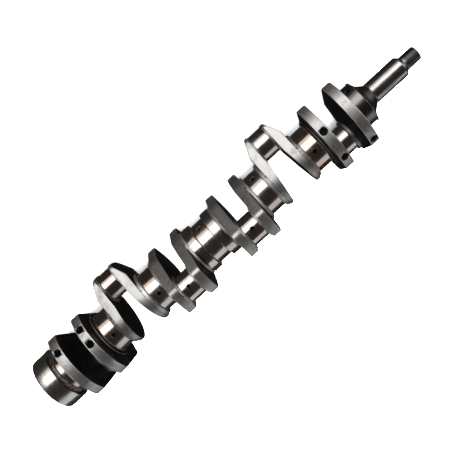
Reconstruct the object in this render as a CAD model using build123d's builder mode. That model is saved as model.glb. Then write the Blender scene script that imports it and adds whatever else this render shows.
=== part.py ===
from build123d import *
import os
from math import acos, atan2, cos, radians, sin, sqrt, tan

# One-piece forged crankshaft of a straight-six engine, all sizes in millimetres.
# +X runs along the shaft to the front (snout), +Z is up when the shaft lies on a bench with throws 3 and 4
# on top, and the origin is the middle of the centre main journal, on the shaft's axis.
# Every node is one functional section of the forging, in the order in which it is machined.

# Shaft layout
THROW = 52.5                    # crank radius, half the stroke
MAIN_RADIUS = 35.0
PIN_RADIUS = 23.0
CENTRE_MAIN_WIDTH = 24.0
MAIN_WIDTH = 24.0
END_MAIN_WIDTH = 20.5
REAR_MAIN_WIDTH = 19.5
PIN_WIDTH = 26.0
WEB_WIDTH = 22.0
COLLAR_WIDTH = 14.5
COLLAR_RADIUS = 40.0
JOURNAL_FILLET = 1.8
COLLAR_EDGE = 1.0

# Throw angles, from +Y towards +Z
THROW_ANGLE = {1: 210.0, 2: -30.0, 3: 90.0, 4: 90.0, 5: -30.0, 6: 210.0}

# Webs
HUB_RADIUS = 42.0               # the web around the main journal
NOSE_REACH = 77.5               # the turned end of the web, beyond the crankpin
NOSE_HALF_WIDTH = 24.5          # half the web's width at that end
NOSE_CORNER = 10.0
BAR_REACH = 57.5                # tail of the webs with a narrow counterweight
BAR_HALF_WIDTH = 31.0
BAR_CORNER = 6.0
DISC_RADIUS = 66.0              # end webs, whose counterweight balances the couple of each half shaft
DISC_ANGLE = -60.0              # middle of that counterweight, with the crankpin straight up at 90
DISC_HALF_SPAN = 57.0
DISC_KNEE_ANGLE = 157.6         # where its far flank turns towards the crankpin
DISC_KNEE_RADIUS = 57.4
DISC_CORNER = 12.0
RIM_EDGE = 1.6
PIN_SHOULDER_RADIUS = 27.0
MAIN_SHOULDER_RADIUS = 38.6
CONE_ROOT = 2.0                 # how far the cone beside a main journal reaches into its web
WEB_KIND = {1: "disc", 2: "plain", 3: "bar", 4: "bar", 5: "plain", 6: "disc"}
# Shoulders beside the crankpin and beside the main journal, and the radius of the cone's foot
SHOULDERS = {
    "plain": (1.5, 5.0, 40.8),
    "bar": (1.5, 4.5, 41.0),
    "disc": (1.5, 4.5, 43.5),
    "end disc": (4.5, 1.5, 43.5),
}
# Cheeks: the pin cheek leans back below its knee, and the main cheek above its own, by these angles
CHEEKS = {
    "plain": (25.0, 7.2, 49.6, 23.3),
    "bar": (25.0, 1.0, 50.0, 3.0),
    "disc": (25.0, 0.0, 50.0, 0.0),
}
CHEEK_REACH = 80.0              # past every web's outline

# Drillings
OIL_RADIUS = 2.7
OIL_MOUTH = 3.7
MAIN_OIL_ANGLE = {1: 12.0, 2: 70.0, 3: 12.0, 4: 13.0, 5: 69.0, 6: 69.0, 7: 12.0}
PIN_FEEDS_FROM = {1: 1, 2: 2, 3: 3, 4: 5, 5: 6, 6: 7}
PIN_OIL_LEAD = -33.0            # mouth of a crankpin drilling, ahead of its throw
BALANCE_RADIUS = 6.1
BALANCE_DEPTH = 17.0
BALANCE_ANGLES = {
    (1, "front"): (108.0,),
    (1, "rear"): (53.0, 97.0),
    (6, "front"): (28.0, 52.0),
    (6, "rear"): (31.5,),
}

# Rear end
SLINGER_WIDTH = 3.5
SLINGER_RADIUS = 38.0
FLANGE_WIDTH = 28.5
FLANGE_RADIUS = 45.5
FLANGE_EDGE = 1.2
PILOT_RADIUS = 17.5
PILOT_DEPTH = 17.0
PILOT_RELIEF_RADIUS = 12.5
PILOT_RELIEF_DEPTH = 23.0
BOLT_CIRCLE_RADIUS = 32.0
BOLT_COUNT = 6
BOLT_RADIUS = 5.4               # tapping size of M12 x 1.25
BOLT_DEPTH = 22.0
DOWEL_RADIUS = 4.0
DOWEL_DEPTH = 10.0

# Front end
CONE_LENGTH = 6.0
CONE_RADIUS = 24.7
NECK_LENGTH = 10.5
SNOUT_RADIUS = 17.25
SNOUT_LENGTH = 63.5
SNOUT_GROOVE = 0.7
SNOUT_CHAMFER = 5.25
NOSE_RADIUS = 12.0              # M24 thread, drawn as the solid under its crests
NOSE_LENGTH = 25.5
NOSE_CHAMFER = 1.5
CENTRE_DRILL_RADIUS = 3.2
CENTRE_DRILL_DEPTH = 9.0

# Places along the shaft, worked outwards from the centre main
collar_outer = CENTRE_MAIN_WIDTH / 2 + COLLAR_WIDTH
pin_x = {3: collar_outer + WEB_WIDTH + PIN_WIDTH / 2}
main_x = {3: pin_x[3] + PIN_WIDTH / 2 + WEB_WIDTH + MAIN_WIDTH / 2, 4: 0.0}
half_bay = MAIN_WIDTH / 2 + WEB_WIDTH + PIN_WIDTH / 2
pin_x[2] = main_x[3] + half_bay
main_x[2] = pin_x[2] + half_bay
pin_x[1] = main_x[2] + half_bay
end_main_inner = pin_x[1] + PIN_WIDTH / 2 + WEB_WIDTH
main_x[1] = end_main_inner + END_MAIN_WIDTH / 2
for number in (1, 2, 3):
    pin_x[7 - number] = -pin_x[number]
for number in (2, 3):
    main_x[8 - number] = -main_x[number]
main_x[7] = -(end_main_inner + REAR_MAIN_WIDTH / 2)
main_width = {number: MAIN_WIDTH for number in main_x}
main_width[1] = END_MAIN_WIDTH
main_width[4] = CENTRE_MAIN_WIDTH
main_width[7] = REAR_MAIN_WIDTH

os.makedirs("parts", exist_ok=True)


def save(builder, name):
    builder.part.label = name
    export_step(builder.part, f"parts/{name}.step")


def around(angle, radius):
    """Point across the shaft, at an angle from +Y towards +Z."""
    return (radius * cos(radians(angle)), radius * sin(radians(angle)))


def pin_centre(throw):
    return around(THROW_ANGLE[throw], THROW)


def journal_profile(radius, width):
    """Half section of a ground journal with a hollow fillet at each end, from the axis outwards."""
    half = width / 2
    fillet_r = JOURNAL_FILLET
    with BuildSketch(Plane.XY) as profile:
        with BuildLine():
            Polyline((-half, 0), (half, 0), (half, radius + fillet_r))
            RadiusArc((half, radius + fillet_r), (half - fillet_r, radius), fillet_r)
            Line((half - fillet_r, radius), (-half + fillet_r, radius))
            RadiusArc((-half + fillet_r, radius), (-half, radius + fillet_r), fillet_r)
            Line((-half, radius + fillet_r), (-half, 0))
        make_face()
    return profile.sketch


def drilling(start, end, radius):
    """Straight round drilling between two points."""
    way = Vector(*end) - Vector(*start)
    plane = Plane(origin=start, z_dir=way)
    return plane * Cylinder(radius, way.length, align=(Align.CENTER, Align.CENTER, Align.MIN))


def mouth(point, outward, radius, mouth_radius):
    """Countersunk mouth of a drilling in a journal's surface."""
    depth = mouth_radius - radius
    plane = Plane(origin=point, z_dir=outward)
    cone = Cone(radius, mouth_radius + depth, 2 * depth, align=(Align.CENTER, Align.CENTER, Align.CENTER))
    return plane * cone


def main_cross_drilling(number):
    """Oil drilling right through a main journal, square to the shaft."""
    x = main_x[number]
    reach = COLLAR_RADIUS
    y, z = around(MAIN_OIL_ANGLE[number], 1.0)
    tool = drilling((x, -reach * y, -reach * z), (x, reach * y, reach * z), OIL_RADIUS)
    for side in (1, -1):
        out = (0, side * y, side * z)
        point = (x, out[1] * MAIN_RADIUS, out[2] * MAIN_RADIUS)
        tool += mouth(point, out, OIL_RADIUS, OIL_MOUTH)
    return tool


def pin_drilling(throw):
    """Oil drilling from a crankpin's surface down to the axis of the main journal that feeds it."""
    centre_y, centre_z = pin_centre(throw)
    y, z = around(THROW_ANGLE[throw] + PIN_OIL_LEAD, 1.0)
    surface = (pin_x[throw], centre_y + y * PIN_RADIUS, centre_z + z * PIN_RADIUS)
    foot = (main_x[PIN_FEEDS_FROM[throw]], 0, 0)
    along = Vector(*surface) - Vector(*foot)
    beyond = Vector(*foot) + along * 1.1
    tool = drilling(foot, (beyond.X, beyond.Y, beyond.Z), OIL_RADIUS)
    return tool + mouth(surface, (0, y, z), OIL_RADIUS, OIL_MOUTH)


def tangent_point(radius, corner, turn):
    """Where a line from a corner touches the circle of that radius around the shaft's axis."""
    away = Vector(*corner)
    angle = atan2(away.Y, away.X) + turn * acos(radius / away.length)
    return (radius * cos(angle), radius * sin(angle))


def balance_hole(x, angle):
    """Blind hole drilled into a counterweight's rim towards the shaft's axis."""
    foot_y, foot_z = around(angle, DISC_RADIUS - BALANCE_DEPTH)
    top_y, top_z = around(angle, DISC_RADIUS + BALANCE_DEPTH)
    return drilling((x, foot_y, foot_z), (x, top_y, top_z), BALANCE_RADIUS)


def web_outline(kind):
    """Outline of a web across the shaft, with its crankpin straight up."""
    nose = (NOSE_HALF_WIDTH, sqrt(NOSE_REACH**2 - NOSE_HALF_WIDTH**2))
    far_nose = (-nose[0], nose[1])
    flank_top = tangent_point(HUB_RADIUS, nose, -1)
    with BuildSketch(Plane.XY) as outline:
        with BuildLine():
            ThreePointArc(far_nose, (0, NOSE_REACH), nose)
            if kind == "disc":
                near_end = around(DISC_ANGLE + DISC_HALF_SPAN, DISC_RADIUS)
                far_end = around(DISC_ANGLE - DISC_HALF_SPAN, DISC_RADIUS)
                knee = around(DISC_KNEE_ANGLE, DISC_KNEE_RADIUS)
                Line(nose, near_end)
                ThreePointArc(near_end, around(DISC_ANGLE, DISC_RADIUS), far_end)
                Polyline(far_end, knee, far_nose)
            elif kind == "bar":
                tail = (BAR_HALF_WIDTH, -sqrt(BAR_REACH**2 - BAR_HALF_WIDTH**2))
                flank_foot = tangent_point(HUB_RADIUS, tail, 1)
                for side in (1, -1):
                    Line((side * nose[0], nose[1]), (side * flank_top[0], flank_top[1]))
                    ThreePointArc(
                        (side * flank_top[0], flank_top[1]),
                        (side * HUB_RADIUS, 0),
                        (side * flank_foot[0], flank_foot[1]),
                    )
                    Line((side * flank_foot[0], flank_foot[1]), (side * tail[0], tail[1]))
                ThreePointArc(tail, (0, -BAR_REACH), (-tail[0], tail[1]))
            else:
                far_top = (-flank_top[0], flank_top[1])
                Line(nose, flank_top)
                ThreePointArc(flank_top, (0, -HUB_RADIUS), far_top)
                Line(far_top, far_nose)
        make_face()
        corners = outline.vertices().filter_by(lambda corner: corner.Y > NOSE_REACH / 2 + PIN_RADIUS)
        fillet(corners, NOSE_CORNER)
        if kind == "disc":
            corners = outline.vertices().filter_by(
                lambda corner: corner.Y < HUB_RADIUS and abs(corner.X) < DISC_RADIUS
            )
            fillet(corners, DISC_CORNER)
        elif kind == "bar":
            corners = outline.vertices().filter_by(lambda corner: corner.Y < -HUB_RADIUS)
            fillet(corners, BAR_CORNER)
    return outline.sketch


def cheek_outline(kind, rim_start, rim_end):
    """Side view of a web between its two cheeks: along the shaft, and along the throw from the axis."""
    pin_knee, pin_draft, main_knee, main_draft = CHEEKS[kind]
    side = 1 if rim_end > rim_start else -1
    pin_lean = side * (pin_knee + CHEEK_REACH) * tan(radians(pin_draft))
    main_lean = side * (CHEEK_REACH - main_knee) * tan(radians(main_draft))
    with BuildSketch(Plane.XY) as outline:
        with BuildLine():
            Polyline(
                (rim_start, CHEEK_REACH),
                (rim_start, pin_knee),
                (rim_start + pin_lean, -CHEEK_REACH),
                (rim_end, -CHEEK_REACH),
                (rim_end, main_knee),
                (rim_end - main_lean, CHEEK_REACH),
                close=True,
            )
        make_face()
    return outline.sketch


mains = {number: main_cross_drilling(number) for number in main_x}
galleries = {throw: pin_drilling(throw) for throw in pin_x}
outlines = {kind: web_outline(kind) for kind in ("plain", "bar", "disc")}

# Main journals
for number, x in main_x.items():
    with BuildPart() as journal:
        with BuildSketch(Plane.XY) as section:
            with Locations((x, 0)):
                add(journal_profile(MAIN_RADIUS, main_width[number]))
        revolve(axis=Axis.X)
        add(mains[number], mode=Mode.SUBTRACT)
        for throw, feed in PIN_FEEDS_FROM.items():
            if feed == number:
                add(galleries[throw], mode=Mode.SUBTRACT)
    save(journal, f"main_journal_{number}")

# Crankpins
for throw, x in pin_x.items():
    centre_y, centre_z = pin_centre(throw)
    with BuildPart() as pin:
        with BuildSketch(Plane(origin=(x, centre_y, centre_z))):
            add(journal_profile(PIN_RADIUS, PIN_WIDTH))
        revolve(axis=Axis((x, centre_y, centre_z), (1, 0, 0)))
        add(galleries[throw], mode=Mode.SUBTRACT)
    save(pin, f"crankpin_{throw}")

# Webs, one either side of each crankpin
for throw, x in pin_x.items():
    kind = WEB_KIND[throw]
    turn = THROW_ANGLE[throw] - 90
    throw_plane = Plane(origin=(0, 0, 0), x_dir=(1, 0, 0), z_dir=(0, *around(THROW_ANGLE[throw] + 90, 1.0)))
    across = Vector(*throw_plane.z_dir)
    for place, side in (("front", 1), ("rear", -1)):
        ends_shaft = kind == "disc" and side * x > 0
        pin_shoulder, main_shoulder, cone_foot = SHOULDERS["end disc" if ends_shaft else kind]
        pin_face = x + side * PIN_WIDTH / 2
        main_face = pin_face + side * WEB_WIDTH
        rim_start = pin_face + side * pin_shoulder
        rim_end = main_face - side * main_shoulder
        hole_angles = BALANCE_ANGLES.get((throw, place), ())
        balance_holes = [balance_hole((rim_start + rim_end) / 2, angle) for angle in hole_angles]
        with BuildPart() as web:
            with BuildSketch(Plane.YZ.offset(rim_start)):
                add(outlines[kind], rotation=turn)
            extrude(amount=rim_end - rim_start)
            with BuildSketch(throw_plane):
                add(cheek_outline(kind, rim_start, rim_end))
            extrude(amount=CHEEK_REACH, both=True, mode=Mode.INTERSECT)
            cheeks = web.faces().filter_by(lambda face: abs(face.normal_at().X) > 0.5)
            knees = cheeks.edges().filter_by(GeomType.LINE).filter_by(Axis((0, 0, 0), across))
            fillet(cheeks.edges() - knees, RIM_EDGE)
            with BuildSketch(Plane.YZ.offset(pin_face)):
                with Locations(pin_centre(throw)):
                    Circle(PIN_SHOULDER_RADIUS)
                add(outlines[kind], rotation=turn, mode=Mode.INTERSECT)
            extrude(amount=2 * (rim_start - pin_face))
            with BuildSketch(Plane.XY):
                with BuildLine():
                    Polyline(
                        (rim_end - side * CONE_ROOT, 0),
                        (rim_end - side * CONE_ROOT, cone_foot),
                        (rim_end, cone_foot),
                        (main_face, MAIN_SHOULDER_RADIUS),
                        (main_face, 0),
                        close=True,
                    )
                make_face()
            revolve(axis=Axis.X)
            add(galleries[throw], mode=Mode.SUBTRACT)
            for hole in balance_holes:
                add(hole, mode=Mode.SUBTRACT)
        save(web, f"web_{throw}_{place}")

# Thrust collars on each side of the centre main
for place, side in (("front", 1), ("rear", -1)):
    start = side * CENTRE_MAIN_WIDTH / 2
    with BuildPart() as collar:
        with BuildSketch(Plane.YZ.offset(start)):
            Circle(COLLAR_RADIUS)
        extrude(amount=side * COLLAR_WIDTH)
        chamfer(collar.edges().filter_by(GeomType.CIRCLE), COLLAR_EDGE)
    save(collar, f"thrust_collar_{place}")

# Rear end: oil slinger and flywheel flange
slinger_start = -(end_main_inner + REAR_MAIN_WIDTH)
with BuildPart() as slinger:
    with BuildSketch(Plane.YZ.offset(slinger_start)):
        Circle(SLINGER_RADIUS)
    extrude(amount=-SLINGER_WIDTH)
save(slinger, "rear_oil_slinger")

flange_start = slinger_start - SLINGER_WIDTH
flange_face = flange_start - FLANGE_WIDTH
rear_plane = Plane(origin=(flange_face, 0, 0), x_dir=(0, 1, 0), z_dir=(-1, 0, 0))
with BuildPart() as flange:
    with BuildSketch(Plane.YZ.offset(flange_face)):
        Circle(FLANGE_RADIUS)
    extrude(amount=FLANGE_WIDTH)
    chamfer(flange.edges().filter_by(GeomType.CIRCLE), FLANGE_EDGE)
    with BuildSketch(rear_plane):
        Circle(PILOT_RADIUS)
    extrude(amount=-PILOT_DEPTH, mode=Mode.SUBTRACT)
    with BuildSketch(rear_plane):
        Circle(PILOT_RELIEF_RADIUS)
    extrude(amount=-PILOT_RELIEF_DEPTH, mode=Mode.SUBTRACT)
    with BuildSketch(rear_plane):
        with PolarLocations(BOLT_CIRCLE_RADIUS, BOLT_COUNT):
            Circle(BOLT_RADIUS)
    extrude(amount=-BOLT_DEPTH, mode=Mode.SUBTRACT)
    with BuildSketch(rear_plane):
        with PolarLocations(BOLT_CIRCLE_RADIUS, 1, start_angle=180 / BOLT_COUNT):
            Circle(DOWEL_RADIUS)
    extrude(amount=-DOWEL_DEPTH, mode=Mode.SUBTRACT)
save(flange, "flywheel_flange")

# Front end: cone, snout and threaded nose
cone_start = end_main_inner + END_MAIN_WIDTH
cone_end = cone_start + CONE_LENGTH
neck_end = cone_end + NECK_LENGTH
snout_end = neck_end + SNOUT_LENGTH
nose_end = snout_end + NOSE_LENGTH
with BuildPart() as cone:
    with BuildSketch(Plane.XY):
        with BuildLine():
            Polyline(
                (cone_start, 0),
                (cone_start, MAIN_RADIUS),
                (cone_end, CONE_RADIUS),
                (neck_end, SNOUT_RADIUS),
                (neck_end, 0),
                close=True,
            )
        make_face()
    revolve(axis=Axis.X)
save(cone, "front_cone")

with BuildPart() as snout:
    with BuildSketch(Plane.XY):
        with BuildLine():
            Polyline(
                (neck_end, 0),
                (neck_end, SNOUT_RADIUS - SNOUT_GROOVE),
                (neck_end + 2 * SNOUT_GROOVE, SNOUT_RADIUS - SNOUT_GROOVE),
                (neck_end + 2 * SNOUT_GROOVE, SNOUT_RADIUS),
                (snout_end - SNOUT_CHAMFER, SNOUT_RADIUS),
                (snout_end, SNOUT_RADIUS - SNOUT_CHAMFER),
                (snout_end, 0),
                close=True,
            )
        make_face()
    revolve(axis=Axis.X)
save(snout, "front_snout")

with BuildPart() as nose:
    with BuildSketch(Plane.XY):
        with BuildLine():
            Polyline(
                (snout_end, 0),
                (snout_end, NOSE_RADIUS),
                (nose_end - NOSE_CHAMFER, NOSE_RADIUS),
                (nose_end, NOSE_RADIUS - NOSE_CHAMFER),
                (nose_end, CENTRE_DRILL_RADIUS),
                (nose_end - CENTRE_DRILL_DEPTH, 0),
                close=True,
            )
        make_face()
    revolve(axis=Axis.X)
save(nose, "threaded_nose")

print("mains", main_x)
print("pins", pin_x)
print("flange face", flange_face, "nose end", nose_end)
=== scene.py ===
"""Looks of a one-piece forged crankshaft for a straight-six engine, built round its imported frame.

Everything is in metres, in the shaft's own frame: +X runs to the front snout, +Z is up as the shaft lies on
a bench, and the origin is the middle of the centre main journal. Round sections are turned here to the
frame's places, and each web is a dressed copy of its frame node.
"""

import logging
import math
from dataclasses import dataclass, field
from enum import Enum

import bpy
from mathutils import Matrix, Vector

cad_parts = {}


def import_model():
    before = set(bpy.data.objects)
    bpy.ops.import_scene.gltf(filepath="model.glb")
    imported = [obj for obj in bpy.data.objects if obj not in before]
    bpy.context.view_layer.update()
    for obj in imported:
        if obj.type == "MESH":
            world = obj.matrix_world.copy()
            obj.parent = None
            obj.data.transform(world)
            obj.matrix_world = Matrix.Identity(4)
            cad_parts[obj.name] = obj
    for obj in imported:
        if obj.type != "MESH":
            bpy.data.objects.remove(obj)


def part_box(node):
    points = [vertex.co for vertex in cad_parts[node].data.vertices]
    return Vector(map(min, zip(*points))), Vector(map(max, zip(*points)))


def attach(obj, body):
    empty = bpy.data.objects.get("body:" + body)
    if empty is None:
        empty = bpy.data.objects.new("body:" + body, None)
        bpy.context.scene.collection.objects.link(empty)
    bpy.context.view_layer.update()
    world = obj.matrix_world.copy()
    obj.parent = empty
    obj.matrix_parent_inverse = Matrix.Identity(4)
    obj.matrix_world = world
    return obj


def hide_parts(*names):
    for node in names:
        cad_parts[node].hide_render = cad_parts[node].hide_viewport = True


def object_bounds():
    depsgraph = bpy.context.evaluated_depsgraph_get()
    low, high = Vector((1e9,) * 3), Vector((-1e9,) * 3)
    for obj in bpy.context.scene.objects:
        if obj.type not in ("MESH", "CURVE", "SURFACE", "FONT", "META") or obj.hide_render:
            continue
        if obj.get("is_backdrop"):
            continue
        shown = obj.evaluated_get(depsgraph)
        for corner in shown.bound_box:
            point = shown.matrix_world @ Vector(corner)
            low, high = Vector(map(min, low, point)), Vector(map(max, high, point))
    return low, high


LOG = logging.getLogger("crankshaft")
MM = 0.001
BODY = "root"
WELD_GAP = 0.001 * MM

Station = tuple[float, float]
Colour = tuple[float, float, float, float]


class Slot(Enum):
    """Material slots of the record, by what they are on the shaft."""

    WEB = "forged_web"
    JOURNAL = "ground_journal"
    FLANGE = "turned_flange"
    SNOUT = "turned_snout"
    THREAD = "dark_thread"


class Place(Enum):
    """Side of a crankpin or of the centre main, as the sign of its direction along the shaft."""

    FRONT = 1
    REAR = -1


def radial(angle: float, radius: float = 1.0) -> Vector:
    """Vector across the shaft.

    Args:
        angle: Degrees from +Y towards +Z.
        radius: Its length.

    Returns:
        The vector, with no part along the shaft.
    """
    turn = math.radians(angle)
    return Vector((0.0, radius * math.cos(turn), radius * math.sin(turn)))


# Shader building


class Wire:
    """A shader value that ordinary arithmetic can be done on."""

    def __init__(self, recipe: "Recipe", socket: bpy.types.NodeSocket) -> None:
        """Wraps one output socket.

        Args:
            recipe: The material being built.
            socket: The output that carries the value.
        """
        self.recipe = recipe
        self.socket = socket

    def _join(self, operation: str, first: "Wire | float", second: "Wire | float") -> "Wire":
        """Adds a Math node that joins two values.

        Args:
            operation: The node's operation.
            first: First value.
            second: Second value.

        Returns:
            The joined value.
        """
        made = self.recipe.node("ShaderNodeMath", {"operation": operation}, {0: first, 1: second})
        return Wire(self.recipe, made.outputs[0])

    def __add__(self, other: "Wire | float") -> "Wire":
        """The sum."""
        return self._join("ADD", self, other)

    __radd__ = __add__

    def __sub__(self, other: "Wire | float") -> "Wire":
        """The difference."""
        return self._join("SUBTRACT", self, other)

    def __rsub__(self, other: float) -> "Wire":
        """The difference, from a number."""
        return self._join("SUBTRACT", other, self)

    def __mul__(self, other: "Wire | float") -> "Wire":
        """The product."""
        return self._join("MULTIPLY", self, other)

    __rmul__ = __mul__

    def size(self) -> "Wire":
        """The value without its sign."""
        return self._join("ABSOLUTE", self, 0.0)

    def between(self, low: float, high: float) -> "Wire":
        """A smooth rise from 0 to 1.

        Args:
            low: Value where it leaves 0.
            high: Value where it reaches 1.

        Returns:
            The risen value.
        """
        made = self.recipe.node(
            "ShaderNodeMapRange",
            {"interpolation_type": "SMOOTHSTEP"},
            {"Value": self, "From Min": low, "From Max": high},
        )
        return Wire(self.recipe, made.outputs["Result"])


class MixSocket(Enum):
    """Sockets of a Mix node that mixes colours."""

    FACTOR = 0
    FIRST = 6
    SECOND = 7
    RESULT = 2


class Recipe:
    """A procedural material in the making."""

    def __init__(self, name: str) -> None:
        """Starts an empty material.

        Args:
            name: The material's name.
        """
        self.material = bpy.data.materials.new(name)
        self.material.use_nodes = True
        self.tree = self.material.node_tree
        self.tree.nodes.clear()

    def node(self, kind: str, settings: dict | None = None, inputs: dict | None = None) -> bpy.types.Node:
        """Adds one node.

        Args:
            kind: The node's type.
            settings: Its settings, set first.
            inputs: Values, or wires to link, by socket name or number.

        Returns:
            The new node.
        """
        made = self.tree.nodes.new(kind)
        for key, value in (settings or {}).items():
            setattr(made, key, value)
        for key, value in (inputs or {}).items():
            if isinstance(value, Wire):
                self.tree.links.new(value.socket, made.inputs[key])
            else:
                made.inputs[key].default_value = value
        return made

    def position(self) -> Wire:
        """Place on the shaft, in metres."""
        return Wire(self, self.node("ShaderNodeTexCoord").outputs["Object"])

    def along(self) -> Wire:
        """Distance along the shaft, in metres."""
        return self.part(self.position(), "X")

    def part(self, vector: Wire, letter: str) -> Wire:
        """One coordinate of a vector."""
        split = self.node("ShaderNodeSeparateXYZ", None, {"Vector": vector})
        return Wire(self, split.outputs[letter])

    def facing(self) -> Wire:
        """How squarely the surface faces along the shaft: 0 on a rim, 1 on a cheek."""
        normal = Wire(self, self.node("ShaderNodeNewGeometry").outputs["Normal"])
        return self.part(normal, "X").size()

    def grain(self, scale: float, detail: float = 3.0, roughness: float = 0.55) -> Wire:
        """Cloudy noise over the surface.

        Args:
            scale: Features for each metre.
            detail: Octaves.
            roughness: How strong the finer octaves are.

        Returns:
            A value about 0.5.
        """
        made = self.node(
            "ShaderNodeTexNoise",
            {"noise_dimensions": "3D"},
            {"Vector": self.position(), "Scale": scale, "Detail": detail, "Roughness": roughness},
        )
        return Wire(self, made.outputs["Fac"])

    def rings(self, scale: float, detail: float = 2.0) -> Wire:
        """Tool marks that run round the shaft.

        Args:
            scale: Marks for each metre of length.
            detail: Octaves.

        Returns:
            A value about 0.5 that changes along the shaft only.
        """
        made = self.node(
            "ShaderNodeTexNoise",
            {"noise_dimensions": "1D"},
            {"W": self.along(), "Scale": scale, "Detail": detail},
        )
        return Wire(self, made.outputs["Fac"])

    def pits(self, scale: float) -> Wire:
        """Small round pits.

        Args:
            scale: Pits for each metre.

        Returns:
            The distance from the nearest pit's middle.
        """
        made = self.node(
            "ShaderNodeTexVoronoi",
            {"feature": "F1"},
            {"Vector": self.position(), "Scale": scale, "Randomness": 1.0},
        )
        return Wire(self, made.outputs["Distance"])

    def blend(self, amount: Wire, first: "Colour | Wire", second: "Colour | Wire") -> Wire:
        """A colour between two others.

        Args:
            amount: 0 for the first colour, 1 for the second.
            first: First colour.
            second: Second colour.

        Returns:
            The mixed colour.
        """
        sockets = {
            MixSocket.FACTOR.value: amount,
            MixSocket.FIRST.value: first,
            MixSocket.SECOND.value: second,
        }
        made = self.node("ShaderNodeMix", {"data_type": "RGBA"}, sockets)
        return Wire(self, made.outputs[MixSocket.RESULT.value])

    def relief(self, height: Wire, depth: float) -> Wire:
        """Bump of a given depth.

        Args:
            height: Relief from 0 to 1.
            depth: Its depth, in metres.

        Returns:
            The bumped normal.
        """
        made = self.node("ShaderNodeBump", None, {"Height": height, "Strength": 1.0, "Distance": depth})
        return Wire(self, made.outputs["Normal"])

    def finish(
        self, colour: Wire, roughness: Wire, normal: Wire, metallic: float = 1.0
    ) -> bpy.types.Material:
        """Closes the material with a metal surface.

        Args:
            colour: Base colour.
            roughness: Roughness.
            normal: Bumped normal.
            metallic: Metallic share.

        Returns:
            The finished material.
        """
        inputs = {"Base Color": colour, "Roughness": roughness, "Metallic": metallic, "Normal": normal}
        return self.close(self.node("ShaderNodeBsdfPrincipled", None, inputs))

    def close(self, surface: bpy.types.Node) -> bpy.types.Material:
        """Ends the material with its surface shader.

        Args:
            surface: The shader's node.

        Returns:
            The finished material.
        """
        output = self.node("ShaderNodeOutputMaterial")
        self.tree.links.new(surface.outputs[0], output.inputs["Surface"])
        return self.material


@dataclass(frozen=True)
class GroundSteel:
    """Ground and polished bearing surface, with straw and blue tints of hardening under a film of oil."""

    name: str = "ground_steel"
    bright: Colour = (0.37, 0.36, 0.35, 1.0)
    straw: Colour = (0.40, 0.28, 0.21, 1.0)
    blue: Colour = (0.28, 0.30, 0.40, 1.0)
    polish: float = 0.13
    haze: float = 0.1
    mark_pitch: float = 0.35 * MM
    mark_depth: float = 0.0012 * MM
    mark_roughness: float = 0.03
    smear_scale: float = 26
    straw_scale: float = 9
    straw_share: float = 0.55
    blue_scale: float = 14
    blue_share: float = 0.35

    def make(self) -> bpy.types.Material:
        """Builds the material."""
        recipe = Recipe(self.name)
        marks = recipe.rings(1 / self.mark_pitch)
        smear = recipe.grain(self.smear_scale, 4)
        straw = recipe.grain(self.straw_scale, 2).between(0.42, 0.66)
        blue = recipe.grain(self.blue_scale, 2).between(0.55, 0.75)
        colour = recipe.blend(straw * self.straw_share, self.bright, self.straw)
        colour = recipe.blend(blue * self.blue_share, colour, self.blue)
        roughness = self.polish + self.haze * smear.between(0.35, 0.75) + marks * self.mark_roughness
        return recipe.finish(colour, roughness, recipe.relief(marks, self.mark_depth))


@dataclass(frozen=True)
class ForgedSteel:
    """Web of the forging: dark scaled cheeks, bright turned rims and a painted highlight on the edges between
    them.
    """

    name: str = "forged_steel"
    scale_colour: Colour = (0.012, 0.0115, 0.011, 1.0)
    scale_light: Colour = (0.045, 0.042, 0.039, 1.0)
    rim_colour: Colour = (0.29, 0.287, 0.283, 1.0)
    rim_dull: Colour = (0.15, 0.148, 0.146, 1.0)
    painted_highlight_colour: Colour = (0.46, 0.45, 0.44, 1.0)
    scale_roughness: float = 0.5
    rim_roughness: float = 0.36
    mark_pitch: float = 0.8 * MM
    mottle_scale: float = 70
    grit_scale: float = 900
    pit_scale: float = 520
    dull_share: float = 0.7
    pitted_share: float = 0.35
    painted_highlight_share: float = 0.75
    relief_depth: float = 0.03 * MM

    def make(self) -> bpy.types.Material:
        """Builds the material."""
        recipe = Recipe(self.name)
        facing = recipe.facing()
        cheek = facing.between(0.55, 0.85)
        # Painted highlight: a brighter colour on the sloped faces between rim and cheek stands in for the
        # bright edge line that light draws there
        painted_edge_highlight = facing.between(0.12, 0.4) * (1 - facing.between(0.6, 0.85))
        mottle = recipe.grain(self.mottle_scale, 5, 0.65)
        grit = recipe.grain(self.grit_scale, 2)
        marks = recipe.rings(1 / self.mark_pitch, 3)
        pits = recipe.pits(self.pit_scale).between(0.05, 0.3)
        rim = recipe.blend(mottle.between(0.45, 0.72) * self.dull_share, self.rim_colour, self.rim_dull)
        rim = recipe.blend((1 - pits) * self.pitted_share, rim, self.rim_dull)
        scale = recipe.blend(mottle.between(0.4, 0.8), self.scale_colour, self.scale_light)
        colour = recipe.blend(cheek, rim, scale)
        colour = recipe.blend(painted_edge_highlight * self.painted_highlight_share, colour, self.painted_highlight_colour)
        rough_rim = self.rim_roughness + 0.12 * mottle + 0.06 * grit
        rough_scale = self.scale_roughness + 0.2 * mottle
        roughness = rough_rim * (1 - cheek) + rough_scale * cheek
        turned = marks * 0.35 + grit * 0.3
        scaled = mottle * 2.2 + grit * 0.8 + pits * 0.5
        height = turned * (1 - cheek) + scaled * cheek
        return recipe.finish(colour, roughness, recipe.relief(height, self.relief_depth))


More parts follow.
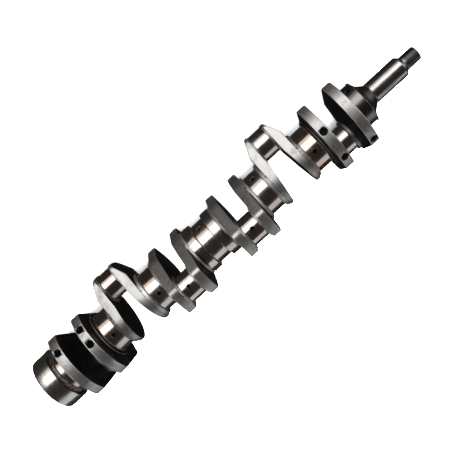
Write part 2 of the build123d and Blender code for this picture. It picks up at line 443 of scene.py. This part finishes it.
@dataclass(frozen=True)
class TurnedSteel:
    """Plain turned steel with visible tool marks, cleaner or duller as asked."""

    name: str
    bright: Colour
    dull: Colour
    roughness: float
    mark_pitch: float
    mark_depth: float
    stain_scale: float = 38
    stain_roughness: float = 0.1
    fleck_scale: float = 700
    fleck_share: float = 0.5
    mark_roughness: float = 0.05

    def make(self) -> bpy.types.Material:
        """Builds the material."""
        recipe = Recipe(self.name)
        marks = recipe.rings(1 / self.mark_pitch, 3)
        stain = recipe.grain(self.stain_scale, 5, 0.6)
        fleck = recipe.grain(self.fleck_scale, 2)
        colour = recipe.blend(stain.between(0.42, 0.75), self.bright, self.dull)
        colour = recipe.blend(fleck.between(0.62, 0.8) * self.fleck_share, colour, self.dull)
        stained = stain.between(0.35, 0.75)
        roughness = self.roughness + self.stain_roughness * stained + self.mark_roughness * marks
        return recipe.finish(colour, roughness, recipe.relief(marks + fleck * 0.3, self.mark_depth))


@dataclass(frozen=True)
class PaintedShadeRecess:
    """Fillets, drillings and grooves that hold dark oil, with painted shade: the near-black oil colour stands
    in for the shade and dark reflections in these recesses.
    """

    name: str
    oil: Colour
    metal: Colour
    roughness: float
    film_scale: float = 240
    film_roughness: float = 0.15
    film_depth: float = 0.01 * MM
    metallic: float = 0.85

    def make(self) -> bpy.types.Material:
        """Builds the material."""
        recipe = Recipe(self.name)
        film = recipe.grain(self.film_scale, 4)
        colour = recipe.blend(film.between(0.4, 0.7), self.oil, self.metal)
        roughness = self.roughness + self.film_roughness * film
        return recipe.finish(colour, roughness, recipe.relief(film, self.film_depth), self.metallic)


class Finishes:
    """All finishes of the shaft, made once."""

    def __init__(self) -> None:
        """Builds every material."""
        self.ground = GroundSteel().make()
        self.dull = GroundSteel(
            name="dull_ground_steel",
            bright=(0.12, 0.118, 0.115, 1.0),
            straw=(0.13, 0.10, 0.08, 1.0),
            blue=(0.10, 0.105, 0.12, 1.0),
            polish=0.24,
        ).make()
        self.forged = ForgedSteel().make()
        self.flange = TurnedSteel(
            "turned_flange_steel", (0.38, 0.38, 0.36, 1.0), (0.27, 0.27, 0.25, 1.0),
            0.17, 0.5 * MM, 0.003 * MM
        ).make()
        self.snout = TurnedSteel(
            "turned_snout_steel", (0.24, 0.235, 0.23, 1.0), (0.16, 0.157, 0.153, 1.0),
            0.2, 0.6 * MM, 0.004 * MM
        ).make()
        self.cone = TurnedSteel(
            "black_cone_steel", (0.05, 0.048, 0.046, 1.0), (0.018, 0.018, 0.018, 1.0),
            0.3, 0.9 * MM, 0.006 * MM
        ).make()
        self.thread = TurnedSteel(
            "dark_thread_steel", (0.14, 0.137, 0.133, 1.0), (0.07, 0.068, 0.066, 1.0),
            0.27, 0.4 * MM, 0.004 * MM
        ).make()
        # Painted shade: fillets and grooves get a near-black colour that stands in for the shade and dark
        # reflections in them
        self.fillet = PaintedShadeRecess(
            "fillet_painted_shade", (0.03, 0.027, 0.024, 1.0), (0.13, 0.12, 0.11, 1.0), 0.25
        ).make()
        # Painted shade: drillings and holes get a still darker colour for the shade inside them
        self.drilling = PaintedShadeRecess(
            "drilling_painted_shade", (0.004, 0.004, 0.004, 1.0), (0.02, 0.018, 0.016, 1.0), 0.5
        ).make()


# Modelling by hand tools


def select_only(piece: bpy.types.Object) -> None:
    """Makes one object the active and only selected one.

    Args:
        piece: The object.
    """
    bpy.ops.object.select_all(action="DESELECT")
    piece.select_set(True)
    bpy.context.view_layer.objects.active = piece


def close_up(piece: bpy.types.Object) -> None:
    """Merges doubles and turns every face outwards.

    Args:
        piece: A closed piece.
    """
    select_only(piece)
    bpy.ops.object.mode_set(mode="EDIT")
    bpy.ops.mesh.select_all(action="SELECT")
    bpy.ops.mesh.remove_doubles(threshold=WELD_GAP)
    bpy.ops.mesh.normals_make_consistent(inside=False)
    bpy.ops.object.mode_set(mode="OBJECT")


def smooth(piece: bpy.types.Object, angle: float = 28.0) -> None:
    """Shades a piece smooth and keeps its sharp edges.

    Args:
        piece: The piece.
        angle: Degrees past which an edge stays sharp.
    """
    select_only(piece)
    bpy.ops.object.shade_smooth_by_angle(angle=math.radians(angle))


@dataclass
class Lathe:
    """Turns round pieces by extruding and scaling a ring from station to station."""

    segments: int = 144

    def turn(self, name: str, stations: list[Station], centre: Vector = Vector()) -> bpy.types.Object:
        """Turns one closed solid.

        Args:
            name: The piece's name.
            stations: Places along the shaft with their radii, in order; they may go back into a bore.
            centre: A point on the turning axis, which runs along X.

        Returns:
            The turned piece, with its place in its mesh.
        """
        bpy.ops.object.select_all(action="DESELECT")
        first, radius = stations[0]
        place = (centre.x + first, centre.y, centre.z)
        bpy.ops.mesh.primitive_circle_add(
            vertices=self.segments, radius=radius, fill_type="NGON",
            location=place, rotation=(0.0, math.pi / 2, 0.0),
        )
        piece = bpy.context.object
        piece.name = name
        bpy.ops.object.transform_apply(location=True, rotation=True, scale=True)
        bpy.ops.object.mode_set(mode="EDIT")
        bpy.ops.mesh.select_all(action="SELECT")
        before = first
        for along, wanted in stations[1:]:
            bpy.ops.mesh.extrude_region_move(TRANSFORM_OT_translate={"value": (along - before, 0.0, 0.0)})
            ratio = wanted / radius
            bpy.ops.transform.resize(
                value=(1.0, ratio, ratio), center_override=(centre.x + along, centre.y, centre.z)
            )
            before, radius = along, wanted
        bpy.ops.object.mode_set(mode="OBJECT")
        close_up(piece)
        return piece


@dataclass
class Drill:
    """Cuts round holes with shaped tools."""

    segments: int = 40

    def tool(self, tip: Vector, way: Vector, stations: list[Station]) -> bpy.types.Object:
        """Makes a cutter.

        Args:
            tip: Where station 0 stands.
            way: The direction out of the work.
            stations: Distances along that way, with their radii.

        Returns:
            The cutter, as a solid.
        """
        cutter = Lathe(self.segments).turn("cutter", stations)
        turn = Vector((1.0, 0.0, 0.0)).rotation_difference(way.normalized())
        cutter.matrix_world = Matrix.Translation(tip) @ turn.to_matrix().to_4x4()
        select_only(cutter)
        bpy.ops.object.transform_apply(location=True, rotation=True, scale=True)
        return cutter

    def cut(self, piece: bpy.types.Object, cutters: list[bpy.types.Object]) -> None:
        """Takes each cutter out of the piece and removes the cutters.

        Args:
            piece: The piece to be drilled.
            cutters: The tools.
        """
        for cutter in cutters:
            select_only(piece)
            modifier = piece.modifiers.new("drilling", "BOOLEAN")
            modifier.operation = "DIFFERENCE"
            modifier.solver = "EXACT"
            modifier.object = cutter
            bpy.ops.object.modifier_apply(modifier=modifier.name)
            bpy.data.objects.remove(cutter)


def dress(piece: bpy.types.Object, node: str, materials: list[bpy.types.Material]) -> None:
    """Gives a piece its materials and its place on the shaft.

    Args:
        piece: The finished piece.
        node: The frame node that it stands for.
        materials: Its materials, in the order of its faces' numbers.
    """
    for material in materials:
        piece.data.materials.append(material)
    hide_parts(node)
    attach(piece, BODY)
    LOG.info("%s: %d faces", piece.name, len(piece.data.polygons))


def arc_stations(start: Station, end: Station, leaves_along: bool, steps: int = 5) -> list[Station]:
    """Stations of a quarter round between two others.

    Args:
        start: First station.
        end: Last station.
        leaves_along: Whether the round leaves along the shaft, and not across it.
        steps: Number of flats.

    Returns:
        The stations after the first.
    """
    made = []
    for step in range(1, steps + 1):
        turn = math.pi / 2 * step / steps
        if leaves_along:
            share_x, share_r = math.sin(turn), 1 - math.cos(turn)
        else:
            share_x, share_r = 1 - math.cos(turn), math.sin(turn)
        made.append((start[0] + (end[0] - start[0]) * share_x, start[1] + (end[1] - start[1]) * share_r))
    return made


def journal_stations(low: float, high: float, radius: float, fillet: float) -> list[Station]:
    """Stations of a ground journal with a hollow fillet at each end.

    Args:
        low: Where it starts along the shaft.
        high: Where it ends.
        radius: Its ground radius.
        fillet: The fillets' radius.

    Returns:
        The stations.
    """
    stations = [(low, radius + fillet)]
    stations += arc_stations((low, radius + fillet), (low + fillet, radius), False)
    stations += [(high - fillet, radius)]
    stations += arc_stations((high - fillet, radius), (high, radius + fillet), True)
    return stations


def rounded(corner: Station, before: Station, after: Station, edge: float, steps: int = 3) -> list[Station]:
    """Rounds a profile corner between its two neighbours.

    Args:
        corner: The corner.
        before: The station before it.
        after: The station after it.
        edge: How far from the corner the round starts and ends.
        steps: Number of flats.

    Returns:
        The stations that take the corner's place.
    """
    here = Vector(corner)
    start = here + (Vector(before) - here).normalized() * edge
    end = here + (Vector(after) - here).normalized() * edge
    made = []
    for step in range(steps + 1):
        share = step / steps
        point = start * (1 - share) ** 2 + here * 2 * share * (1 - share) + end * share**2
        made.append((point.x, point.y))
    return made


def profile(points: list[Station], edges: dict[int, float]) -> list[Station]:
    """Stations along a profile, with some corners rounded.

    Args:
        points: The profile's corners.
        edges: How much to round, by the corner's number.

    Returns:
        The stations.
    """
    made = []
    for number, point in enumerate(points):
        if number in edges:
            made += rounded(point, points[number - 1], points[number + 1], edges[number])
        else:
            made.append(point)
    return made


# The shaft


@dataclass
class Layout:
    """Sizes that several sections share, and the places that the frame gives."""

    throw: float = 52.5 * MM
    main_radius: float = 35.0 * MM
    pin_radius: float = 23.0 * MM
    fillet: float = 1.8 * MM
    oil_radius: float = 2.7 * MM
    oil_mouth: float = 3.7 * MM
    throw_angles: dict[int, float] = field(
        default_factory=lambda: {1: 210.0, 2: -30.0, 3: 90.0, 4: 90.0, 5: -30.0, 6: 210.0}
    )
    main_oil_angles: dict[int, float] = field(
        default_factory=lambda: {1: 12.0, 2: 70.0, 3: 12.0, 4: 13.0, 5: 69.0, 6: 69.0, 7: 12.0}
    )
    pin_feeds_from: dict[int, int] = field(default_factory=lambda: {1: 1, 2: 2, 3: 3, 4: 5, 5: 6, 6: 7})
    pin_oil_lead: float = -33.0

    def span(self, node: str) -> Station:
        """Where a node starts and ends along the shaft.

        Args:
            node: The node's name.

        Returns:
            Its two ends.
        """
        low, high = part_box(node)
        return low.x, high.x

    def middle(self, node: str) -> float:
        """The middle of a node along the shaft.

        Args:
            node: The node's name.

        Returns:
            Its middle.
        """
        low, high = self.span(node)
        return (low + high) / 2

    def pin_centre(self, throw: int) -> Vector:
        """A crankpin's middle."""
        return Vector((self.middle(f"crankpin_{throw}"), 0, 0)) + radial(self.throw_angles[throw], self.throw)

    def mouth_stations(self, depth: float) -> list[Station]:
        """A drilling tool whose mouth flares softly, slow at first and then out past the surface.

        Args:
            depth: How deep it goes.

        Returns:
            The tool's stations.
        """
        flare = self.oil_mouth - self.oil_radius
        return [
            (-depth, self.oil_radius),
            (-1.6 * flare, self.oil_radius),
            (-0.8 * flare, self.oil_radius + 0.25 * flare),
            (0.0, self.oil_mouth),
            (2 * flare, self.oil_mouth + 3 * flare),
        ]


# How far off its ground radius a journal's face counts as fillet or drilling, and how squarely an end face
# looks along the shaft
FILLET_RISE = 0.08 * MM
DRILLING_DROP = 0.9 * MM
END_FACE = 0.99


def number_faces(piece: bpy.types.Object, axis: Vector, radius: float) -> None:
    """Marks a journal's faces: 0 on the bearing surface, 1 on the fillets, 2 inside drillings.

    Args:
        piece: The journal.
        axis: A point on its axis.
        radius: Its ground radius.
    """
    for face in piece.data.polygons:
        away = Vector((face.center.y - axis.y, face.center.z - axis.z))
        if away.length > radius + FILLET_RISE:
            face.material_index = 1
        elif away.length < radius - DRILLING_DROP and abs(face.normal.x) < END_FACE:
            face.material_index = 2


@dataclass
class MainJournals:
    """The seven main journals and their cross drillings."""

    layout: Layout
    lathe: Lathe
    drill: Drill
    depth_share: float = 0.8

    def build(self, finishes: Finishes) -> None:
        """Turns, drills and dresses each main journal.

        Args:
            finishes: The shaft's finishes.
        """
        lay = self.layout
        for number, angle in lay.main_oil_angles.items():
            node = f"main_journal_{number}"
            low, high = lay.span(node)
            stations = journal_stations(low, high, lay.main_radius, lay.fillet)
            piece = self.lathe.turn(f"ground_{node}", stations)
            mouth = lay.mouth_stations(lay.main_radius * self.depth_share)
            cutters = []
            for turn in (angle, angle + 180):
                way = radial(turn)
                tip = Vector(((low + high) / 2, 0, 0)) + way * lay.main_radius
                cutters.append(self.drill.tool(tip, way, mouth))
            self.drill.cut(piece, cutters)
            smooth(piece)
            number_faces(piece, Vector(), lay.main_radius)
            surface = finishes.dull if number == 1 else finishes.ground
            # Painted shade: the fillets and drillings take near-black colours that stand in for shade
            dress(piece, node, [surface, finishes.fillet, finishes.drilling])


@dataclass
class Crankpins:
    """The six crankpins, each with the mouth of the slanted drilling that feeds it."""

    layout: Layout
    lathe: Lathe
    drill: Drill
    mouth_depth: float = 3 * MM
    slant_depth: float = 22 * MM
    slant_lead: float = 4 * MM

    def build(self, finishes: Finishes) -> None:
        """Turns, drills and dresses each crankpin.

        Args:
            finishes: The shaft's finishes.
        """
        lay = self.layout
        for throw, feed in lay.pin_feeds_from.items():
            node = f"crankpin_{throw}"
            low, high = lay.span(node)
            centre = lay.pin_centre(throw)
            axis = Vector((0, centre.y, centre.z))
            stations = journal_stations(low, high, lay.pin_radius, lay.fillet)
            piece = self.lathe.turn(f"ground_{node}", stations, axis)
            way = radial(lay.throw_angles[throw] + lay.pin_oil_lead)
            tip = centre + way * lay.pin_radius
            slant = tip - Vector((lay.middle(f"main_journal_{feed}"), 0, 0))
            mouth = lay.mouth_stations(self.mouth_depth)
            slanted = [(-self.slant_depth, lay.oil_radius), (self.slant_lead, lay.oil_radius)]
            cutters = [self.drill.tool(tip, way, mouth), self.drill.tool(tip, slant, slanted)]
            self.drill.cut(piece, cutters)
            smooth(piece)
            number_faces(piece, axis, lay.pin_radius)
            # Painted shade: the fillets and drillings take near-black colours that stand in for shade
            dress(piece, node, [finishes.ground, finishes.fillet, finishes.drilling])


@dataclass
class Webs:
    """The twelve webs, with their counterweights and balance holes."""

    layout: Layout
    rim_radius: float = 66.0 * MM
    rim_offset: float = 1.5 * MM
    hole_radius: float = 6.1 * MM
    hole_slack: float = 0.1 * MM
    hole_floor: float = 40 * MM
    hole_mouth: float = 0.6 * MM
    face_slack: float = 0.05 * MM
    flat_angle: float = 0.4
    smooth_angle: float = 32.0
    hole_angles: dict[tuple[int, Place], tuple[float, ...]] = field(
        default_factory=lambda: {
            (1, Place.FRONT): (108.0,),
            (1, Place.REAR): (53.0, 97.0),
            (6, Place.FRONT): (28.0, 52.0),
            (6, Place.REAR): (31.5,),
        }
    )

    def build(self, finishes: Finishes) -> None:
        """Copies, cleans and dresses each web.

        Args:
            finishes: The shaft's finishes.
        """
        for throw in self.layout.throw_angles:
            for place in Place:
                node = f"web_{throw}_{place.name.lower()}"
                piece = self.copy(node)
                self.number(piece, throw, place)
                # Painted shade: the balance holes take the drillings' near-black colour
                dress(piece, node, [finishes.forged, finishes.ground, finishes.drilling])

    def copy(self, node: str) -> bpy.types.Object:
        """Copies and welds a web's node.

        Args:
            node: The node's name.

        Returns:
            The clean copy.
        """
        source = bpy.data.objects[node]
        piece = bpy.data.objects.new(f"forged_{node}", source.data.copy())
        piece.data.materials.clear()
        bpy.context.scene.collection.objects.link(piece)
        select_only(piece)
        bpy.ops.object.mode_set(mode="EDIT")
        bpy.ops.mesh.select_all(action="SELECT")
        bpy.ops.mesh.remove_doubles(threshold=WELD_GAP)
        bpy.ops.mesh.dissolve_limited(angle_limit=math.radians(self.flat_angle))
        bpy.ops.object.mode_set(mode="OBJECT")
        smooth(piece, self.smooth_angle)
        return piece

    def number(self, piece: bpy.types.Object, throw: int, place: Place) -> None:
        """Marks a web's faces: 0 as forged, 1 on the ground shoulder of the pin, 2 inside balance holes.

        Args:
            piece: The web.
            throw: Its crankpin's number.
            place: Its side of the crankpin.
        """
        low, high = self.layout.span(f"crankpin_{throw}")
        pin_face = high if place is Place.FRONT else low
        ways = [radial(angle) for angle in self.hole_angles.get((throw, place), ())]
        middle = Vector((self.hole_x(throw, place), 0, 0))
        for face in piece.data.polygons:
            here = face.center
            if abs(here.x - pin_face) < self.face_slack:
                face.material_index = 1
            elif any(self.in_hole(here - middle, way) for way in ways):
                face.material_index = 2

    def in_hole(self, here: Vector, way: Vector) -> bool:
        """Whether a place is on the wall or floor of a balance hole.

        Args:
            here: The place, from the rim's middle.
            way: The hole's direction.

        Returns:
            True when it is.
        """
        along = here.dot(way)
        deep = self.hole_floor < along < self.rim_radius - self.hole_mouth
        return deep and (here - way * along).length < self.hole_radius + self.hole_slack

    def hole_x(self, throw: int, place: Place) -> float:
        """The middle of a counterweight's rim along the shaft.

        Args:
            throw: The crankpin's number.
            place: The web's side of it.

        Returns:
            The place, in metres from the origin.
        """
        low, high = self.layout.span(f"web_{throw}_{place.name.lower()}")
        return (low + high) / 2 + math.copysign(self.rim_offset, low)


@dataclass
class ThrustCollars:
    """The two collars beside the centre main that take the shaft's end thrust."""

    layout: Layout
    lathe: Lathe
    radius: float = 40.0 * MM
    edge: float = 1.0 * MM
    core: float = 0.6

    def build(self, finishes: Finishes) -> None:
        """Turns and dresses both collars.

        Args:
            finishes: The shaft's finishes.
        """
        for place in Place:
            node = f"thrust_collar_{place.name.lower()}"
            low, high = self.layout.span(node)
            inner = self.radius * self.core
            points = [(low, inner), (low, self.radius), (high, self.radius), (high, inner)]
            piece = self.lathe.turn(f"ground_{node}", profile(points, {1: self.edge, 2: self.edge}))
            smooth(piece)
            dress(piece, node, [finishes.ground])


@dataclass
class RearEnd:
    """The oil slinger and the flange that carries the flywheel."""

    layout: Layout
    lathe: Lathe
    drill: Drill
    core_radius: float = 20 * MM
    slinger_radius: float = 38.0 * MM
    slinger_edge: float = 0.5 * MM
    flange_radius: float = 45.5 * MM
    edge: float = 1.2 * MM
    pilot_radius: float = 17.5 * MM
    pilot_depth: float = 17.0 * MM
    relief_radius: float = 12.5 * MM
    relief_depth: float = 23.0 * MM
    relief_edge: float = 0.5 * MM
    bolt_circle: float = 32.0 * MM
    bolt_count: int = 6
    bolt_radius: float = 5.4 * MM
    bolt_depth: float = 22.0 * MM
    dowel_radius: float = 4.0 * MM
    dowel_depth: float = 10.0 * MM
    chamfer: float = 0.9 * MM
    tool_lead: float = 2 * MM
    rim_wall: float = 4 * MM
    face_slack: float = 0.5 * MM

    def build(self, finishes: Finishes) -> None:
        """Turns, drills and dresses both pieces.

        Args:
            finishes: The shaft's finishes.
        """
        self.slinger(finishes)
        self.flange(finishes)

    def slinger(self, finishes: Finishes) -> None:
        """The narrow ring between the last main and the flange, painted dark as shade with the fillets'
        colour.

        Args:
            finishes: The shaft's finishes.
        """
        low, high = self.layout.span("rear_oil_slinger")
        points = [
            (low, self.core_radius),
            (low, self.slinger_radius),
            (high, self.slinger_radius),
            (high, self.core_radius),
        ]
        edges = {1: self.slinger_edge, 2: self.slinger_edge}
        piece = self.lathe.turn("turned_oil_slinger", profile(points, edges))
        smooth(piece)
        # Painted shade: the whole ring takes the fillets' dark colour
        dress(piece, "rear_oil_slinger", [finishes.fillet])

    def flange(self, finishes: Finishes) -> None:
        """The flange, with its pilot bore, bolt holes and dowel hole.

        Args:
            finishes: The shaft's finishes.
        """
        low, high = self.layout.span("flywheel_flange")
        points = [
            (high, self.core_radius),
            (high, self.flange_radius),
            (low, self.flange_radius),
            (low, self.pilot_radius),
            (low + self.pilot_depth, self.pilot_radius),
            (low + self.pilot_depth, self.relief_radius),
            (low + self.relief_depth, self.relief_radius),
        ]
        edges = {1: self.edge, 2: self.edge, 3: self.chamfer, 5: self.relief_edge}
        piece = self.lathe.turn("turned_flywheel_flange", profile(points, edges))
        cutters = [
            self.bolt_tool(low, 360 / self.bolt_count * number, self.bolt_radius, self.bolt_depth)
            for number in range(self.bolt_count)
        ]
        cutters.append(self.bolt_tool(low, -180 / self.bolt_count, self.dowel_radius, self.dowel_depth))
        self.drill.cut(piece, cutters)
        smooth(piece)
        inside = (low + self.chamfer * 1.1, high - self.face_slack)
        for face in piece.data.polygons:
            off_axis = Vector((face.center.y, face.center.z)).length
            if inside[0] < face.center.x < inside[1] and off_axis < self.flange_radius - self.rim_wall:
                face.material_index = 1 if off_axis < self.pilot_radius + self.face_slack else 2
        # Painted shade: the bolt and dowel holes take the drillings' near-black colour
        dress(piece, "flywheel_flange", [finishes.flange, finishes.snout, finishes.drilling])

    def bolt_tool(self, face: float, angle: float, radius: float, depth: float) -> bpy.types.Object:
        """A drill for one chamfered hole in the rear face.

        Args:
            face: Where the rear face stands along the shaft.
            angle: The hole's place on the bolt circle, in degrees.
            radius: Its radius.
            depth: Its depth.

        Returns:
            The cutter.
        """
        stations = [
            (-depth, radius),
            (-self.chamfer, radius),
            (0.0, radius + self.chamfer),
            (self.tool_lead, radius + self.chamfer + self.tool_lead),
        ]
        tip = Vector((face, 0, 0)) + radial(angle, self.bolt_circle)
        return self.drill.tool(tip, Vector((-1.0, 0.0, 0.0)), stations)


@dataclass
class FrontEnd:
    """The cone, the snout that carries the timing gear and pulley, and its threaded nose."""

    layout: Layout
    lathe: Lathe
    cone_length: float = 6.0 * MM
    cone_radius: float = 24.7 * MM
    cone_edge: float = 1.2 * MM
    snout_radius: float = 17.25 * MM
    groove: float = 0.7 * MM
    groove_edge: float = 0.3 * MM
    chamfer: float = 5.25 * MM
    chamfer_edge: float = 0.6 * MM
    nose_radius: float = 12.0 * MM
    nose_chamfer: float = 1.5 * MM
    nose_segments: int = 72
    nose_smooth_angle: float = 50.0
    pitch: float = 1.5 * MM
    thread_depth: float = 0.85 * MM
    flank_slope: float = 2.6
    samples: int = 8
    centre_radius: float = 3.2 * MM
    centre_flare: float = 1.5 * MM
    centre_depth: float = 9.0 * MM
    crest_slack: float = 0.1 * MM

    def build(self, finishes: Finishes) -> None:
        """Turns and dresses the three pieces.

        Args:
            finishes: The shaft's finishes.
        """
        self.cone(finishes)
        self.snout(finishes)
        self.nose(finishes)

    def cone(self, finishes: Finishes) -> None:
        """The cone in front of the first main, in two slopes.

        Args:
            finishes: The shaft's finishes.
        """
        low, high = self.layout.span("front_cone")
        points = [
            (low, self.layout.main_radius),
            (low + self.cone_length, self.cone_radius),
            (high, self.snout_radius - self.groove),
        ]
        piece = self.lathe.turn("turned_front_cone", profile(points, {1: self.cone_edge}))
        smooth(piece)
        dress(piece, "front_cone", [finishes.cone])

    def snout(self, finishes: Finishes) -> None:
        """The parallel snout, between its relief groove and its chamfer.

        Args:
            finishes: The shaft's finishes.
        """
        low, high = self.layout.span("front_snout")
        root = self.snout_radius - self.groove
        points = [
            (low, root),
            (low + 2 * self.groove, root),
            (low + 2 * self.groove, self.snout_radius),
            (high - self.chamfer, self.snout_radius),
            (high, self.snout_radius - self.chamfer),
        ]
        edges = {2: self.groove_edge, 3: self.chamfer_edge}
        piece = self.lathe.turn("turned_front_snout", profile(points, edges))
        smooth(piece)
        # Painted shade: the relief groove takes the fillets' dark colour
        for face in piece.data.polygons:
            if face.center.x < low + 2 * self.groove:
                face.material_index = 1
        dress(piece, "front_snout", [finishes.snout, finishes.fillet])

    def nose(self, finishes: Finishes) -> None:
        """The nose, with a real helical thread and a centre drilling.

        Args:
            finishes: The shaft's finishes.
        """
        low, high = self.layout.span("threaded_nose")
        count = round((high - low) / self.pitch * self.samples)
        step = (high - low) / count
        stations = [(low + step * number, self.nose_radius) for number in range(count + 1)]
        stations += [
            (high, self.centre_radius),
            (high - self.centre_flare, self.centre_radius * 0.55),
            (high - self.centre_depth, self.centre_radius * 0.5),
        ]
        piece = Lathe(self.nose_segments).turn("threaded_nose_end", stations)
        for vertex in piece.data.vertices:
            across = Vector((vertex.co.y, vertex.co.z))
            if across.length > self.nose_radius - self.crest_slack:
                radius = self.thread_radius(vertex.co, low, high)
                across *= radius / across.length
                vertex.co.y, vertex.co.z = across
        smooth(piece, self.nose_smooth_angle)
        for face in piece.data.polygons:
            if Vector((face.center.y, face.center.z)).length < self.centre_radius * 0.8:
                face.material_index = 1
        # Painted shade: the centre drilling takes the drillings' near-black colour
        dress(piece, "threaded_nose", [finishes.thread, finishes.drilling])

    def thread_radius(self, place: Vector, low: float, high: float) -> float:
        """Radius of the threaded nose at a place on it.

        Args:
            place: The place.
            low: Where the nose starts.
            high: Where it ends.

        Returns:
            The radius, with the thread running out at the snout and a chamfer at the end.
        """
        turn = math.atan2(place.z, place.y) / (2 * math.pi)
        phase = ((place.x - low) / self.pitch - turn) % 1.0
        height = min(1.0, abs(phase - 0.5) * self.flank_slope)
        run_out = max(0.0, min(1.0, (place.x - low - 2 * self.pitch) / self.pitch))
        limit = self.nose_radius - max(0.0, place.x - (high - self.nose_chamfer))
        return min(limit, self.nose_radius - self.thread_depth * (1 - height) * run_out)


# Studio


@dataclass(frozen=True)
class SoftLight:
    """A large soft lamp that faces the shaft."""

    name: str
    place: Vector
    size: Station
    power: float
    colour: tuple[float, float, float] = (1.0, 1.0, 1.0)
    mirrored: bool = True
    aim: Vector = Vector((0.03, 0.0, 0.0))

    def hang(self) -> None:
        """Adds the lamp to the scene."""
        lamp = bpy.data.lights.new(self.name, "AREA")
        lamp.shape = "RECTANGLE"
        lamp.size, lamp.size_y = self.size
        lamp.energy = self.power
        lamp.color = self.colour
        holder = bpy.data.objects.new(self.name, lamp)
        holder.location = self.place
        holder.rotation_euler = (self.aim - self.place).to_track_quat("-Z", "Y").to_euler()
        holder.visible_glossy = self.mirrored
        bpy.context.scene.collection.objects.link(holder)


@dataclass
class Studio:
    """Pale floor, soft lamps and the camera."""

    floor_size: float = 12.0
    floor_colour: Colour = (0.88, 0.88, 0.88, 1.0)
    floor_roughness: float = 0.9
    backdrop_radius: float = 4.5
    backdrop_colour: Colour = (0.95, 0.95, 0.95, 1.0)
    room_colour: Colour = (0.05, 0.043, 0.039, 1.0)
    sensor: float = 36.0
    lens: float = 53.7
    eye: Vector = Vector((0.1163, 0.5442, 0.8745))
    right: Vector = Vector((0.73548, -0.60388, 0.30726))
    up: Vector = Vector((0.67125, 0.58771, -0.45169))

    def build(self, floor_height: float) -> None:
        """Sets up floor, backdrop, room, lamps and camera.

        Args:
            floor_height: Where the floor stands.
        """
        self.floor(floor_height)
        self.backdrop()
        self.room()
        self.lamps()
        self.camera()

    def floor(self, height: float) -> None:
        """A plain pale floor under the shaft, which the metal doesn't mirror.

        Args:
            height: Where it stands.
        """
        bpy.ops.object.select_all(action="DESELECT")
        bpy.ops.mesh.primitive_plane_add(size=self.floor_size, location=(0, 0, height))
        floor = bpy.context.object
        floor.name = "studio_floor"
        floor.visible_glossy = False
        recipe = Recipe("pale_floor")
        inputs = {"Base Color": self.floor_colour, "Roughness": self.floor_roughness}
        floor.data.materials.append(recipe.close(recipe.node("ShaderNodeBsdfPrincipled", None, inputs)))
        floor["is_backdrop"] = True

    def backdrop(self) -> None:
        """A pale dome behind the shaft, which the metal doesn't mirror."""
        bpy.ops.object.select_all(action="DESELECT")
        bpy.ops.mesh.primitive_uv_sphere_add(radius=self.backdrop_radius, location=(0, 0, 0))
        dome = bpy.context.object
        dome.name = "studio_backdrop"
        dome.visible_glossy = False
        dome.visible_diffuse = False
        dome.visible_shadow = False
        recipe = Recipe("pale_backdrop")
        inputs = {"Color": self.backdrop_colour}
        dome.data.materials.append(recipe.close(recipe.node("ShaderNodeEmission", None, inputs)))
        dome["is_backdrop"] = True

    def room(self) -> None:
        """A dim room around the lamps, and plain colours in the picture."""
        world = bpy.data.worlds.new("dim_room")
        world.use_nodes = True
        background = world.node_tree.nodes["Background"]
        background.inputs["Color"].default_value = self.room_colour
        background.inputs["Strength"].default_value = 1.0
        bpy.context.scene.world = world
        bpy.context.scene.view_settings.view_transform = "Standard"

    def lamps(self) -> None:
        """Side and end soft boxes for the bright bands, and a top fill for the floor alone."""
        for lamp in (
            SoftLight("key_softbox", Vector((0.1, 1.3, 0.78)), (2.6, 0.95), 36.0),
            SoftLight("warm_strip", Vector((0.1, 1.35, 0.1)), (2.4, 0.3), 4.5, (1.0, 0.84, 0.7)),
            SoftLight("back_softbox", Vector((-0.1, -1.2, 0.75)), (2.4, 0.9), 8.0),
            SoftLight("front_softbox", Vector((1.7, 0.2, 0.4)), (1.2, 1.0), 12.0),
            SoftLight("rear_softbox", Vector((-1.7, 0.2, 0.4)), (1.2, 1.0), 12.0),
            SoftLight("floor_fill", Vector((0.0, 0.0, 2.6)), (3.2, 3.2), 800.0, mirrored=False),
        ):
            lamp.hang()

    def camera(self) -> None:
        """The camera, held level with its own frame and with no shift."""
        lens = bpy.data.cameras.new("camera")
        lens.sensor_fit = "HORIZONTAL"
        lens.sensor_width = self.sensor
        lens.lens = self.lens
        holder = bpy.data.objects.new("camera", lens)
        right = self.right.normalized()
        back = right.cross(self.up).normalized()
        up = back.cross(right)
        turn = Matrix((right, up, back)).transposed().to_4x4()
        holder.matrix_world = Matrix.Translation(self.eye) @ turn
        bpy.context.scene.collection.objects.link(holder)
        bpy.context.scene.camera = holder


def corners(bounds: tuple[Vector, Vector]) -> list[list[float]]:
    """A box's two corners.

    Args:
        bounds: The box.

    Returns:
        Its corners as plain lists.
    """
    return [[float(number) for number in corner] for corner in bounds]


def main() -> None:
    """Builds the shaft's visual pieces in order, then the studio."""
    logging.basicConfig(level=logging.INFO, format="%(name)s %(message)s")
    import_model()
    frame_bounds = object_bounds()
    finishes = Finishes()
    layout = Layout()
    lathe = Lathe()
    drill = Drill()
    MainJournals(layout, lathe, drill).build(finishes)
    Crankpins(layout, lathe, drill).build(finishes)
    Webs(layout).build(finishes)
    ThrustCollars(layout, lathe).build(finishes)
    RearEnd(layout, lathe, drill).build(finishes)
    FrontEnd(layout, lathe).build(finishes)
    Studio().build(corners(frame_bounds)[0][2])


if __name__ == "__main__":
    main()
